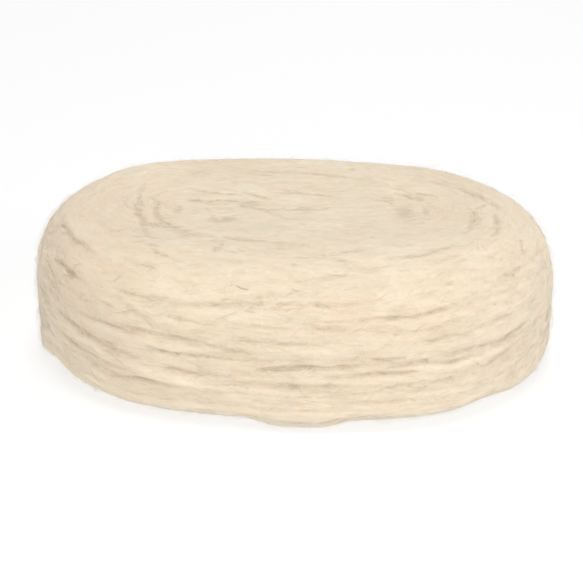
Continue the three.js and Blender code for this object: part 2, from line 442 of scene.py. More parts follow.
# %% Slack turns at the foot, and broad swells
SLACK_TURNS = [
    # angle, spread, push outward, reach above the table
    (272.6, 4.9, 5, 8),
    (328, 14, 2.2, 10),
    (310, 8, -1.2, 9),
    (202, 6, 2, 12),
    (215, 7, -1.4, 9),
]
SLACK_LIFT = 1.2 * MM
SWELLS = [
    # angle, across, half sizes along X, Y and Z, rise
    (105, 34, 22, 12, 14, -0.3),
    (88, 35, 9, 9, 9, 0.4),
    (130, 37, 20, 15, 13, 1.1),
]
print(f"{len(SLACK_TURNS)} slack turns and {len(SWELLS)} broad swells")

# %% [markdown]
# ## From rows to folds
# Between two matted strands lies a narrow line in a wide soft trough, and it dies away at both
# ends. Curves could be laid there and cut out of the plate, but wool has no sharp edges. So each
# row becomes a bell shape across the winding, full in its middle and tapering to its ends, which
# sways a little on its way.

# %% Folds along the winding
CREASE_WIDER = 2.2
CREASE_CORE = 0.6
FADE = 0.4
SWAY = 0.3 * MM
SWAY_WAVES = [
    # waves round the plate, distance across, share
    (23, 4 * MM, 1.0),
    (41, -3 * MM, 0.6),
]


def wobble(across, degrees):
    """A small uneven sway, so that no crease runs as a drawn line."""
    turn = np.radians(degrees)
    return SWAY * sum(share * np.sin(waves * turn + across / far) for waves, far, share in SWAY_WAVES)


def fold_shape(rows, across, degrees, profile):
    """The height of a table of folds, each tapering to its two ends."""
    total = np.zeros(np.broadcast(across, degrees).shape)
    swayed = across + wobble(across, degrees)
    for start_at, end_at, start, end, half, height, *bend in rows:
        centre = (start_at + end_at) / 2
        turn = (degrees - centre + 180) % 360 - 180 + centre
        t = np.clip((turn - start_at) / (end_at - start_at), -FADE, 1 + FADE)
        middle = (start + (end - start) * t + sum(bend) * 4 * t * (1 - t)) * MM
        swell = (t + FADE) * (1 + FADE - t) / (0.5 + FADE) ** 2
        total += height * MM * swell * profile((swayed - middle) / (half * MM))
    return total


def ridge(off):
    return np.exp(-off ** 2)


def crease(off):
    """A narrow core in a wide soft trough, as between two matted strands."""
    return CREASE_CORE * ridge(off) + (1 - CREASE_CORE) * ridge(off / CREASE_WIDER)


# %% Soft spots, and all the folds together
def patches(rows, places):
    """The sum of soft spots, each a row of place, half sizes and strength."""
    total = np.zeros(places.shape[:-1])
    for angle, out, half_x, half_y, half_z, strength in rows:
        centre = skin_points(np.array(out * MM), np.array(math.radians(angle)))
        far = (places - centre) / (np.array([half_x, half_y, half_z]) * MM)
        total += strength * np.exp(-(far ** 2).sum(axis=-1))
    return total


def fold_marks(across, degrees, places):
    """How far the folds lift the skin and how far they sink it, in metres."""
    creases = SIDE_CREASES + TOP_CREASES + HIDDEN_CREASES
    lifted = fold_shape(PROUD_TURNS, across, degrees, ridge)
    lifted += patches(SWELLS, places) * MM
    sunk = fold_shape(creases, across, degrees, crease) + patches(HOLLOWS, places) * MM
    return lifted, sunk


def smooth(value, start, end):
    """Nothing before the start and one after the end, with an easy climb between."""
    t = np.clip((value - start) / (end - start), 0, 1)
    return t * t * (3 - 2 * t)


def slack_push(degrees, height):
    """How far the slack turns fill the rounding of the foot."""
    total = np.zeros(height.shape)
    for angle, spread, push, reach in SLACK_TURNS:
        off = (degrees - angle) / spread
        low_down = np.clip(1 - height / (reach * MM), 0, 1)
        total += push * MM * np.exp(-(off ** 4)) * low_down * smooth(height, 0, SLACK_LIFT)
    return total


# %% [markdown]
# ## The skin before its relief
# A grid of points follows the form, a ring about every half millimetre from the slit to the foot.
# At the slit the two sides of the first ring are the same points, which closes the top, and the
# last ring closes the underside the same way. A bent plane would give the same shape, but here
# each point also carries what later steps need: its place on the winding, the way the wool runs
# there, and how far the folds move it.

# %% The grid of the skin
COLUMNS = 360
COLUMN_CROWDING = 0.23
ROW_STEP = 0.43 * MM
UNDER_STEP = 2.5 * MM


def skin_grid():
    """Distance across and angle round for every point, crowded towards the flanks."""
    outer = np.linspace(0, across_foot, int(across_foot / ROW_STEP))
    under = np.linspace(across_foot, across_end, int(foot_edge / UNDER_STEP))[1:]
    even = np.arange(COLUMNS) * 2 * math.pi / COLUMNS
    angle = even + COLUMN_CROWDING * np.sin(2 * even)
    return np.meshgrid(np.concatenate([outer, under]), angle, indexing="ij")


def closed_faces(shape):
    """The points that stay when the first and last rings are folded shut, and the faces."""
    columns = np.arange(COLUMNS)
    folded = np.minimum(columns, COLUMNS - columns)
    number = np.arange(shape[0] * shape[1]).reshape(shape)
    number[0] = number[0][folded]
    number[-1] = number[-1][folded]
    used, compact = np.unique(number, return_inverse=True)
    compact = compact.reshape(shape)
    beside = np.roll(compact, -1, axis=1)
    faces = np.stack([compact[:-1], compact[1:], beside[1:], beside[:-1]], axis=-1)
    return used, faces.reshape(-1, 4)


# %% What the points carry
CREASE_SINK = 0.5
# the side where the painted shade low at the foot is strongest
FOOT_SHADE_SIDE = math.radians(300)


def ring_points(places, across):
    """Each ring of the winding rolled out to a circle of the same length, for noise to follow."""
    step = np.linalg.norm(np.roll(places, -1, axis=1) - places, axis=-1)
    length = step.sum(axis=1, keepdims=True)
    along = np.cumsum(step, axis=1) - step
    circle = 2 * math.pi * along / length
    radius = length / (2 * math.pi)
    return np.stack([radius * np.cos(circle), radius * np.sin(circle), across], axis=-1)


def skin_layers(across, angle, places):
    """Values for every point of the grid, by name."""
    height = places[..., 2]
    lifted, sunk = fold_marks(across, np.degrees(angle), places)
    run = np.roll(places, -1, axis=1) - np.roll(places, 1, axis=1)
    run /= np.maximum(np.linalg.norm(run, axis=-1, keepdims=True), 1e-9)
    rougher_left = 0.65 - 0.35 * np.cos(angle)
    foot_shade_weight = 0.5 + 0.5 * np.cos(angle - FOOT_SHADE_SIDE)
    return {
        "across": across,
        "turns": angle / (2 * math.pi),
        "folds": lifted - CREASE_SINK * sunk,
        # how much painted shade the creases and hollows get, from how far they sink
        "shade": sunk / MM,
        "proud": lifted / MM,
        "warm": patches(WARM_PATCHES, places),
        "calm": 0.4 + 0.6 * smooth(height, 0, 4 * MM),
        # painted shade low at the foot, near the table, strongest towards the front right
        "foot": (1 - smooth(height, 1.5 * MM, 7.5 * MM)) * foot_shade_weight ** 2,
        "ends": 0.3 + 0.7 * np.cos(angle) ** 2 * rougher_left,
        "upright": smooth(across, 34 * MM, 64 * MM),
        "dress": (across < across_foot) * 1.0,
        "ring": ring_points(places, across),
        "run": run,
    }


# %% Build the skin
def build_skin():
    across, angle = skin_grid()
    depth, height = section_at(across)
    x, y = plan_points(depth + slack_push(np.degrees(angle), height), angle)
    places = np.stack([x, y, height], axis=-1)
    used, faces = closed_faces(across.shape)
    mesh = bpy.data.meshes.new(NODE)
    mesh.from_pydata(places.reshape(-1, 3)[used].tolist(), [], faces.tolist())
    for name, values in skin_layers(across, angle, places).items():
        kind, key = ("FLOAT", "value") if values.ndim == 2 else ("FLOAT_VECTOR", "vector")
        kept = values.reshape(across.size, -1)[used]
        layer = mesh.attributes.new(name, kind, "POINT")
        layer.data.foreach_set(key, kept.astype(np.float32).reshape(-1))
    mesh.shade_smooth()
    return mesh


skin = build_skin()
print(f"the skin has {len(skin.vertices)} points and {2 * len(skin.polygons)} triangles")

# %% [markdown]
# ## Helpers for node trees
# Geometry and shader trees are built alike: nodes, and wires between them. Laying wires one by one
# hides what a tree does, so a small class stands for the wire that leaves a node and can be added,
# subtracted and multiplied. With it a tree reads like a formula. Two helpers make the noise that
# this lesson uses everywhere: stretched along the winding, as drawn wool is, and closed on itself
# all the way round the plate. The last one gives a group its named inputs.

# %% Wires and nodes
class Wire:
    """What leaves a node, with the arithmetic that lets a tree read like a formula."""

    def __init__(self, tree, socket):
        self.tree = tree
        self.socket = socket
        self.node = socket.node

    def __add__(self, other):
        return maths("ADD", self, other)

    def __sub__(self, other):
        return maths("SUBTRACT", self, other)

    def __mul__(self, other):
        return maths("MULTIPLY", self, other)

    def to(self, socket):
        self.tree.links.new(self.socket, socket)


def add(tree, kind, inputs=None, output=0, **settings):
    """A new node with its sockets filled, as the wire that leaves it."""
    node = tree.nodes.new(kind)
    for name, value in settings.items():
        setattr(node, name, value)
    for key, value in (inputs or {}).items():
        if isinstance(value, Wire):
            value.to(node.inputs[key])
        else:
            node.inputs[key].default_value = value
    return Wire(tree, node.outputs[output])


# %% Arithmetic on wires
def maths(operation, a, b=0.0, clamp=False):
    return add(a.tree, "ShaderNodeMath", {0: a, 1: b}, operation=operation, use_clamp=clamp)


def vectors(operation, a, b):
    return add(a.tree, "ShaderNodeVectorMath", {0: a, 1: b}, operation=operation)


def scaled(vector, factor):
    return add(vector.tree, "ShaderNodeVectorMath", {0: vector, "Scale": factor}, operation="SCALE")


def ramp(value, from_low, from_high, to_low=0.0, to_high=1.0):
    inputs = {0: value, 1: from_low, 2: from_high, 3: to_low, 4: to_high}
    return add(value.tree, "ShaderNodeMapRange", inputs, interpolation_type="SMOOTHSTEP")


def blended(factor, a, b):
    """One number mixed into another."""
    return add(factor.tree, "ShaderNodeMix", {0: factor, 2: a, 3: b})


def mixed(factor, a, b):
    """One colour mixed into another."""
    return add(factor.tree, "ShaderNodeMix", {0: factor, 6: a, 7: b}, output=2, data_type="RGBA")


# %% Noise that follows the winding
def wool_noise(ring, along, across, seed, detail=2.0, rough=0.5):
    """Noise with features of the given length along the winding and width across it."""
    place = vectors("MULTIPLY", ring, (1 / along, 1 / along, 1 / across))
    inputs = {"Vector": place, "W": seed, "Scale": 1.0, "Detail": detail, "Roughness": rough}
    return add(ring.tree, "ShaderNodeTexNoise", inputs, noise_dimensions="4D")


def strayed(ring, along, across, reach, seed):
    """The same place moved across the winding by a slow noise, so that streaks stray and cross."""
    sideways = (wool_noise(ring, along, across, seed, detail=1.0) - 0.5) * reach
    return vectors("ADD", ring, add(ring.tree, "ShaderNodeCombineXYZ", {2: sideways}))


# %% Groups with named inputs
def open_group(group, inputs, outputs):
    """Gives a node group its inputs and outputs, as socket type to names, and returns both ends."""
    for in_out, sockets in (("INPUT", inputs), ("OUTPUT", outputs)):
        for kind, names in sockets.items():
            for name in names:
                group.interface.new_socket(name, in_out=in_out, socket_type="NodeSocket" + kind)
    start = group.nodes.new("NodeGroupInput")
    given = {socket.name: Wire(group, socket) for socket in start.outputs}
    return given, group.nodes.new("NodeGroupOutput").inputs


# %% [markdown]
# ## Wool
# Undyed wool is cream rather than white, and streaked along the winding because every lock has its
# own tone. The shade between the turns, in the hollows and low at the foot is painted into the
# colour as browner and greyer tones, and turns that stand proud get a painted highlight. A picture
# of wool could be wrapped round the plate, but it would bring its own light and seams. So one group
# works the colour out: it mixes a few tones by noise that follows the winding, and by the marks
# that the points carry.

# %% Tones of the wool
WOOL_TONES = {
    "Light Wool": (0.92, 0.805, 0.64, 1),
    "Dark Wool": (0.75, 0.63, 0.465, 1),
    "Warm Wool": (0.86, 0.705, 0.54, 1),
    "Cool Wool": (0.80, 0.72, 0.57, 1),
    # Foot, gap and hollow tones are painted shade: at the foot, in creases and gaps, and in hollows.
    "Foot Shade": (0.62, 0.575, 0.49, 1),
    "Gap Shade": (0.68, 0.54, 0.395, 1),
    "Hollow Shade": (0.66, 0.555, 0.42, 1),
}
WOOL_MARKS = ("Gap", "Warm", "Upright", "Proud", "Foot")
SHEEN_WARMTH = (1, 0.88, 0.70, 1)


# %% Streaks, tints and creases
def streaked_wool(given, stray, crossing):
    """Light wool streaked with dark, and the height of its fibres."""
    broad = wool_noise(given["Ring"], 30 * MM, 9 * MM, 3.0)
    tufts = wool_noise(crossing, 10 * MM, 3.5 * MM, 7.0)
    matted = wool_noise(crossing, 3.5 * MM, 2 * MM, 9.0, detail=3.0)
    drawn = wool_noise(stray, 11 * MM, 1.0 * MM, 10.0, detail=3.0)
    fibres = wool_noise(crossing, 2 * MM, 0.6 * MM, 11.0, detail=3.0, rough=0.6)
    locks = blended(given["Upright"], ramp(matted, 0.35, 0.7), ramp(drawn, 0.35, 0.7))
    fine = locks * 0.27 + ramp(fibres, 0.3, 0.7) * 0.25
    tone = ramp(broad, 0.3, 0.7) * 0.33 + ramp(tufts, 0.35, 0.75) * 0.34 + fine
    # turns that stand proud and broad swells are painted lighter, as a painted highlight
    tone = maths("SUBTRACT", tone + given["Warm"] * 0.3, given["Proud"] * 0.6, clamp=True)
    height = tufts * 0.4 + locks * 0.4 + fibres * 0.2
    return mixed(tone, given["Light Wool"], given["Dark Wool"]), height


def tinted_wool(given, streaked):
    """A blush here and there, grey patches, and painted shade low at the foot."""
    blush = ramp(wool_noise(given["Ring"], 14 * MM, 6 * MM, 23.0), 0.45, 0.75, 0.0, 0.45)
    blush = maths("ADD", blush, given["Warm"] * 0.6, clamp=True)
    grey = ramp(wool_noise(given["Ring"], 12 * MM, 5 * MM, 29.0), 0.5, 0.75, 0.0, 0.6)
    warmed = mixed(blush, streaked, given["Warm Wool"])
    cooled = mixed(grey, warmed, given["Cool Wool"])
    return mixed(given["Foot"] * 0.7, cooled, given["Foot Shade"])


def creased_wool(given, stray, crossing, tinted):
    """Painted shade in the creases as dark dashes, and faint ticks of painted shade between them."""
    dashes = ramp(wool_noise(crossing, 4 * MM, 0.5 * MM, 13.0, detail=3.0), 0.4, 0.6, 0.2, 1.15)
    darkest = ramp(given["Upright"], 0.0, 0.3, 0.55, 0.32)
    ticks = ramp(wool_noise(stray, 7 * MM, 1.1 * MM, 31.0), 0.58, 0.74, 0.0, darkest)
    # how much painted shade a point gets: the gap mark broken into dashes, plus faint ticks
    crease = maths("ADD", given["Gap"] * dashes, ticks, clamp=True)
    # the painted shade takes the hollow tone on the top and the gap tone on the side
    sunk = mixed(given["Upright"], given["Hollow Shade"], given["Gap Shade"])
    return mixed(crease, tinted, sunk)


# %% The streaked wool group
def streak_group():
    group = bpy.data.node_groups.new("wool streaks", "ShaderNodeTree")
    inputs = {"Vector": ("Ring",), "Float": WOOL_MARKS, "Color": WOOL_TONES}
    given, result = open_group(group, inputs, {"Color": ("Colour",), "Float": ("Fibre Height",)})
    stray = strayed(given["Ring"], 16 * MM, 5 * MM, 4 * MM, 2.0)
    crossing = strayed(given["Ring"], 9 * MM, 4 * MM, 6 * MM, 5.0)
    streaked, height = streaked_wool(given, stray, crossing)
    tinted = tinted_wool(given, streaked)
    creased_wool(given, stray, crossing, tinted).to(result["Colour"])
    height.to(result["Fibre Height"])
    return group


# %% The wool material
def new_material(name):
    material = bpy.data.materials.new(name)
    material.use_nodes = True
    return material, material.node_tree, material.node_tree.nodes["Principled BSDF"]


def set_sockets(node, values):
    for name, value in values.items():
        node.inputs[name].default_value = value


def mark(tree, name, output="Fac"):
    """A value that the points carry, for a material."""
    return add(tree, "ShaderNodeAttribute", output=output, attribute_name=name)


def wool_material(name, group, bump):
    material, tree, shader = new_material(name)
    streaks = tree.nodes.new("ShaderNodeGroup")
    streaks.node_tree = group
    mark(tree, "ring", "Vector").to(streaks.inputs["Ring"])
    for layer in WOOL_MARKS:
        mark(tree, layer.lower()).to(streaks.inputs[layer])
    set_sockets(streaks, WOOL_TONES)
    Wire(tree, streaks.outputs["Colour"]).to(shader.inputs["Base Color"])
    height = Wire(tree, streaks.outputs["Fibre Height"])
    raised = add(tree, "ShaderNodeBump", {"Strength": bump, "Distance": 0.4 * MM, "Height": height})
    raised.to(shader.inputs["Normal"])
    set_sockets(shader, {
        "Roughness": 0.95,
        "Specular IOR Level": 0.15,
        "Sheen Weight": 0.6,
        "Sheen Roughness": 0.5,
        "Sheen Tint": SHEEN_WARMTH,
        "Subsurface Weight": 0.4,
        "Subsurface Radius": (1.0, 0.7, 0.5),
        "Subsurface Scale": 1.2 * MM,
    })
    return material


wool = wool_material("wool", streak_group(), bump=0.5)
print(f"the wool mixes {len(WOOL_TONES)} tones")

# %% [markdown]
# ## The winding as relief
# Now the turns. A real plate is some three hundred metres of roving, and nobody needs to sweep all
# of it: what shows is the outermost layer, a spiral of soft strands with gaps between them. The
# tree below lifts the skin along its normals. It knows the spiral from each point's place, gives
# every strand a rounded section that is fuller below than above, lets the strands wander and mat
# together in places, and adds the folds. It sits on the skin as a modifier with named inputs, and
# since plain meshes have to leave this file, `grow` keeps the mesh that comes out of it.

# %% Helpers for geometry trees
def new_tree(name, inputs):
    """A geometry tree, its inputs by name and the socket for its result."""
    tree = bpy.data.node_groups.new(name, "GeometryNodeTree")
    tree.is_modifier = True
    geometry = {"Geometry": ("Geometry",)}
    given, result = open_group(tree, {**geometry, **inputs, "Material": ("Material",)}, geometry)
    return tree, given, result[0]


def carried(tree, name, kind="FLOAT"):
    """A value that the points carry, for a geometry tree."""
    return add(tree, "GeometryNodeInputNamedAttribute", {"Name": name}, data_type=kind)


def stored(geometry, name, value):
    inputs = {"Geometry": geometry, "Name": name, "Value": value}
    return add(geometry.tree, "GeometryNodeStoreNamedAttribute", inputs)


def moved(geometry, how, place):
    """Points moved to a Position, or by an Offset."""
    return add(geometry.tree, "GeometryNodeSetPosition", {"Geometry": geometry, how: place})


def above_table(geometry):
    """Keeps every point on or above the table."""
    place = add(geometry.tree, "GeometryNodeInputPosition")
    return moved(geometry, "Position", vectors("MAXIMUM", place, (-1.0, -1.0, 0.0)))


def finish_tree(geometry, material, result):
    """The end of every tree: instances made real, then the material."""
    whole = add(geometry.tree, "GeometryNodeRealizeInstances", {"Geometry": geometry})
    inputs = {"Geometry": whole, "Material": material}
    add(geometry.tree, "GeometryNodeSetMaterial", inputs).to(result)


def grow(name, mesh, tree, values):
    """Runs a geometry tree on a mesh and returns the result as a plain mesh object."""
    piece = in_scene(name, mesh)
    modifier = piece.modifiers.new("grow", "NODES")
    modifier.node_group = tree
    for item in tree.interface.items_tree:
        if item.item_type == "SOCKET" and item.in_out == "INPUT" and item.name in values:
            modifier[item.identifier] = values[item.name]
    evaluated = piece.evaluated_get(bpy.context.evaluated_depsgraph_get())
    grown = bpy.data.meshes.new_from_object(evaluated)
    piece.modifiers.clear()
    piece.data = grown
    grown.name = name
    return piece


# %% Strands, locks and tufts
STRAND_SECTION = [(0, 0), (0.10, 0.35), (0.25, 0.80), (0.50, 1.0), (0.75, 0.88), (0.90, 0.45), (1, 0)]


def uneven(given, place, along, across, step, detail=2.0):
    """Wool noise whose seed lies a step from the tree's own."""
    return wool_noise(place, along, across, given["Seed"] + step, detail=detail)


def strand_gaps(given, ring):
    """How far the gaps between strands sink, along a spiral that wanders and mats in places."""
    wander = (uneven(given, ring, 38 * MM, 11 * MM, 0.0, detail=1.0) - 0.5) * given["Wander"]
    strands = maths("DIVIDE", carried(ring.tree, "across") + wander, given["Strand Pitch"])
    phase = maths("FRACT", strands - carried(ring.tree, "turns"))
    section = add(ring.tree, "ShaderNodeFloatCurve", {"Value": phase})
    curve = section.node.mapping.curves[0]
    for place in STRAND_SECTION[1:-1]:
        curve.points.new(*place)
    curve.points[-1].location = STRAND_SECTION[-1]
    section.node.mapping.update()
    matted = ramp(uneven(given, ring, 30 * MM, 7 * MM, 5.0), 0.36, 0.66)
    gap_depth = ramp(carried(ring.tree, "upright"), 0, 1, given["Top Gap"], given["Side Gap"])
    return (section - 1.0) * matted * gap_depth


def soft_wool(given, ring, stray):
    """Lumps, drawn locks with dimples, and tufts at the ends, each as a rise."""
    lump = (uneven(given, ring, 34 * MM, 12 * MM, 9.0, detail=1.0) - 0.55) * given["Lump"]
    lock = (uneven(given, stray, 12 * MM, 1.6 * MM, 13.0, detail=3.0) - 0.6) * given["Lock"]
    dimple = ramp(uneven(given, stray, 18 * MM, 2.6 * MM, 19.0), 0.45, 0.8) * given["Dimple"]
    drawn = (lock - dimple) * ramp(carried(ring.tree, "upright"), 0.0, 0.6, 0.4, 1.0)
    tuft = (uneven(given, stray, 8 * MM, 3.5 * MM, 23.0, detail=3.0) - 0.5) * given["Tuft"]
    return lump, drawn, tuft * carried(ring.tree, "ends")


# %% The relief tree
RELIEF_SIZES = {
    "Strand Pitch": 5.5 * MM,
    "Side Gap": 0.3 * MM,
    "Top Gap": 0.08 * MM,
    "Wander": 5.0 * MM,
    "Lump": 1.0 * MM,
    "Lock": 0.12 * MM,
    "Dimple": 0.15 * MM,
    "Tuft": 1.5 * MM,
    "Seed": 21.0,
}


def relief_tree():
    tree, given, result = new_tree("winding relief", {"Float": RELIEF_SIZES})
    ring = carried(tree, "ring", "FLOAT_VECTOR")
    stray = strayed(ring, 16 * MM, 5 * MM, 5 * MM, given["Seed"] + 11.0)
    gaps = strand_gaps(given, ring)
    broken = ramp(uneven(given, stray, 12 * MM, 2.5 * MM, 17.0), 0.3, 0.6, 0.7, 1.1)
    folds = carried(tree, "folds")
    creases = maths("MINIMUM", folds, 0.0) * broken
    proud = maths("MAXIMUM", folds, 0.0)
    lump, drawn, tuft = soft_wool(given, ring, stray)
    rise = (gaps + creases + proud + lump + drawn + tuft) * carried(tree, "calm")
    normal = add(tree, "GeometryNodeInputNormal")
    lifted = moved(given["Geometry"], "Offset", scaled(normal, rise))

    # The gap mark: where the materials paint shade, in creases, hollows, strand gaps and streaks.
    upright = carried(tree, "upright")
    shade = carried(tree, "shade") * broken * ramp(upright, 0.0, 0.3, 1.1, 0.66)
    faint = ramp(uneven(given, stray, 14 * MM, 1.0 * MM, 29.0), 0.54, 0.72)
    faint = faint * ramp(upright, 0.0, 0.3, 0.5, 0.35)
    gap = ramp(shade + gaps * (-0.5 / MM) + faint, 0.05, 1.1)
    finish_tree(above_table(stored(lifted, "gap", gap)), given["Material"], result)
    return tree


# %% Raise the relief
plate = grow(NODE, skin, relief_tree(), {**RELIEF_SIZES, "Material": wool})
plate.name = "lopi_plate"
print(f"the wound plate has {2 * len(plate.data.polygons)} triangles")
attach(plate, "root")
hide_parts(NODE)

# %% [markdown]
# ## Fibres along the winding
# Up close the wool isn't a smooth skin: wisps lie along the turns, finer fibres cross them, and
# loose hairs stand off and blur the outline. Hair particles would show in Blender alone, so these
# are real thin tubes. One tree makes every layer: it scatters points over the plate, lays a short
# line at each along the way the wool runs, draws the line down onto the surface so that both ends
# sink in, and sweeps a three-sided section along it.

# %% Scatter points and lay lines
def chance(given, step, start=0.0, end=1.0):
    """A random number for each point, with a seed that lies a step from the tree's own."""
    seed = given["Seed"] + step
    inputs = {2: start, 3: end, "Seed": seed}
    return add(seed.tree, "FunctionNodeRandomValue", inputs, output=1, data_type="FLOAT")


def scattered(tree, given):
    """Points over the wool that carry a tone and a rise, and the way out of the wool at each."""
    on_side = ramp(carried(tree, "upright"), 0.0, 0.6, 0.3, 1.0)
    on_side = on_side * ramp(carried(tree, "ends"), 0.5, 1.0, 1.0, given["At Ends"])
    share = blended(given["In Creases"], on_side, carried(tree, "gap"))
    points = add(tree, "GeometryNodeDistributePointsOnFaces", {
        "Mesh": given["Geometry"],
        "Density": given["Density"] * share * carried(tree, "dress"),
        "Seed": given["Seed"],
    }, output="Points")
    outward = Wire(tree, points.node.outputs["Normal"])
    toned = stored(points, "tone", chance(given, 0.0))
    return stored(toned, "raise", maths("POWER", chance(given, 1.0), 2.0)), outward


def laid_lines(tree, given, points, outward):
    """A straight line at each point, along the way the wool runs but for a chance slant."""
    line = add(tree, "GeometryNodeCurvePrimitiveLine", {"Start": (-0.5, 0, 0), "End": (0.5, 0, 0)})
    line = add(tree, "GeometryNodeResampleCurve", {"Curve": line, "Count": given["Points"]})
    axes = {"Primary Axis": carried(tree, "run", "FLOAT_VECTOR"), "Secondary Axis": outward}
    along = add(tree, "FunctionNodeAxesToRotation", axes, primary_axis="X", secondary_axis="Z")
    slant = (chance(given, 2.0) - 0.5) * 2.0 * given["Slant"]
    lean = add(tree, "FunctionNodeAxisAngleToRotation", {"Axis": (0.0, 0.0, 1.0), "Angle": slant})
    turns = {"Rotation": along, "Rotate By": lean}
    length = chance(given, 3.0, given["Shortest"], given["Longest"])
    lines = add(tree, "GeometryNodeInstanceOnPoints", {
        "Points": points,
        "Instance": line,
        "Rotation": add(tree, "FunctionNodeRotateRotation", turns, rotation_space="LOCAL"),
        "Scale": add(tree, "ShaderNodeCombineXYZ", {0: length, 1: 1.0, 2: 1.0}),
    })
    return add(tree, "GeometryNodeRealizeInstances", {"Geometry": lines})


# %% Seat the lines on the wool and sweep them
SWAYS_PER_METRE = 110.0


def nearest(surface, value, place, kind="FLOAT_VECTOR"):
    """A value of the surface, at its point nearest to a place."""
    inputs = {"Mesh": surface, "Value": value, "Sample Position": place}
    return add(surface.tree, "GeometryNodeSampleNearestSurface", inputs, data_type=kind)


def bow(tree):
    """Nothing at the two ends of a fibre, and one in its middle."""
    return maths("SINE", add(tree, "GeometryNodeSplineParameter", output="Factor") * math.pi)


def seated_fibres(tree, given, lines):
    """Lines that sway, drawn down onto the wool with both ends sunk in."""
    place = add(tree, "GeometryNodeInputPosition")
    noise = {"Vector": place, "W": carried(tree, "tone"), "Scale": SWAYS_PER_METRE, "Detail": 1.0}
    sway = add(tree, "ShaderNodeTexNoise", noise, output="Color", noise_dimensions="4D")
    sway = scaled(vectors("SUBTRACT", sway, (0.5, 0.5, 0.5)), given["Wave"])
    on_skin = nearest(given["Geometry"], place, place)
    outward = nearest(given["Geometry"], add(tree, "GeometryNodeInputNormal"), place)
    lift = bow(tree) * carried(tree, "raise") * given["Lift"] - given["Thickness"] * 0.4
    seated = vectors("ADD", on_skin, scaled(outward, lift))
    return moved(moved(lines, "Offset", sway), "Position", seated)


def swept(paths, thickness, fuller, sides):
    """Closed tubes along paths, half as thick at the ends and fuller in the middle."""
    tree = paths.tree
    circle = {"Resolution": sides, "Radius": 1.0}
    tubes = add(tree, "GeometryNodeCurveToMesh", {
        "Curve": paths,
        "Profile Curve": add(tree, "GeometryNodeCurvePrimitiveCircle", circle),
        "Scale": thickness * (bow(tree) * fuller + 0.5),
        "Fill Caps": True,
    })
    return add(tree, "GeometryNodeSetShadeSmooth", {"Geometry": tubes})


# %% The fibre tree
FIBRE_SIZES = (
    "Density", "Shortest", "Longest", "Thickness", "Slant", "Wave", "Lift", "In Creases", "At Ends",
)
FIBRE_COUNTS = ("Points", "Seed")


def fibre_tree():
    tree, given, result = new_tree("laid fibres", {"Float": FIBRE_SIZES, "Int": FIBRE_COUNTS})
    points, outward = scattered(tree, given)
    lines = laid_lines(tree, given, points, outward)
    tubes = swept(seated_fibres(tree, given, lines), given["Thickness"], fuller=0.4, sides=3)
    place = add(tree, "GeometryNodeInputPosition")
    # the gap mark of the wool below, for the fibres' painted shade
    gap = nearest(given["Geometry"], carried(tree, "gap"), place, "FLOAT")
    finish_tree(above_table(stored(tubes, "gap", gap)), given["Material"], result)
    return tree


laid_fibres = fibre_tree()
print(f"the fibre tree has {len(laid_fibres.nodes)} nodes")

# %% [markdown]
# ## Six layers of fibre
# There are flat-lying wisps that give the turns their streaks, fibres along the winding, fibres
# that cross it at a slant, darker stray hairs, mostly at the left end, short hairs down in the
# creases that are dark as painted shade, and pale loose hairs that rise clear of the wool. One layer
# could mix them all, but each has its own length, thickness and place. Each fibre also has its own
# tone, as single hairs in a fleece do, and in the creases and gaps it is painted darker, as painted
# shade.

# %% Fibre materials
def fibre_material(name, light, dark):
    material, tree, shader = new_material(name)
    tones = add(tree, "ShaderNodeValToRGB", {"Fac": mark(tree, "tone")})
    tones.node.color_ramp.elements[0].color = light
    tones.node.color_ramp.elements[1].color = dark
    # fibres in creases and gaps are painted darker towards the gap tone, as painted shade
    deep = mixed(mark(tree, "gap") * 0.6, tones, WOOL_TONES["Gap Shade"])
    deep.to(shader.inputs["Base Color"])
    set_sockets(shader, {
        "Roughness": 0.8,
        "Specular IOR Level": 0.2,
        "Sheen Weight": 0.5,
        "Sheen Tint": SHEEN_WARMTH,
    })
    return material


fine_fibre = fibre_material("fine fibre", (0.95, 0.85, 0.70, 1), (0.67, 0.54, 0.39, 1))
stray_fibre = fibre_material("stray fibre", (0.93, 0.85, 0.72, 1), (0.60, 0.48, 0.35, 1))
pale_fibre = fibre_material("pale fibre", (0.97, 0.94, 0.88, 1), (0.85, 0.80, 0.72, 1))
# The deep fibre is dark as painted shade, for the hairs down in the creases.
deep_fibre = fibre_material("deep fibre", (0.70, 0.57, 0.43, 1), (0.48, 0.37, 0.27, 1))
print("four fibre materials are made")

# %% Lay the fibres
IN_MILLIMETRES = ("Shortest", "Longest", "Thickness", "Wave", "Lift")
FIBRE_LAYERS = [
    # name, material, then the fibre sizes and counts in their order
    ("wisps", fine_fibre, 40000.0, 8, 20, 0.035, 0.80, 5.0, 0.10, 0.0, 1.5, 5, 31),
    ("fibres", fine_fibre, 170000.0, 5, 12, 0.025, 1.2, 4.0, 0.15, 0.0, 1.0, 4, 47),
    ("cross_fibres", fine_fibre, 205000.0, 4, 9, 0.023, 1.57, 4.0, 0.20, 0.0, 1.0, 4, 59),
    ("stray_hairs", stray_fibre, 45000.0, 2.5, 8, 0.07, 0.80, 4.0, 0.15, 0.0, 6.0, 5, 67),
    ("crease_hairs", deep_fibre, 700000.0, 1.0, 3.5, 0.06, 0.5, 2.0, 0.05, 1.0, 1.0, 4, 89),
    ("loose_hairs", pale_fibre, 185000.0, 4, 10, 0.033, 1.57, 5.0, 2.0, 0.0, 1.8, 5, 73),
]
for layer, material, *values in FIBRE_LAYERS:
    settings = dict(zip(FIBRE_SIZES + FIBRE_COUNTS, values), Material=material)
    for size in IN_MILLIMETRES:
        settings[size] *= MM
    piece = grow(layer, plate.data, laid_fibres, settings)
    piece.data.calc_loop_triangles()
    print(f"{layer}: {len(piece.data.loop_triangles)} triangles")
    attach(piece, "root")
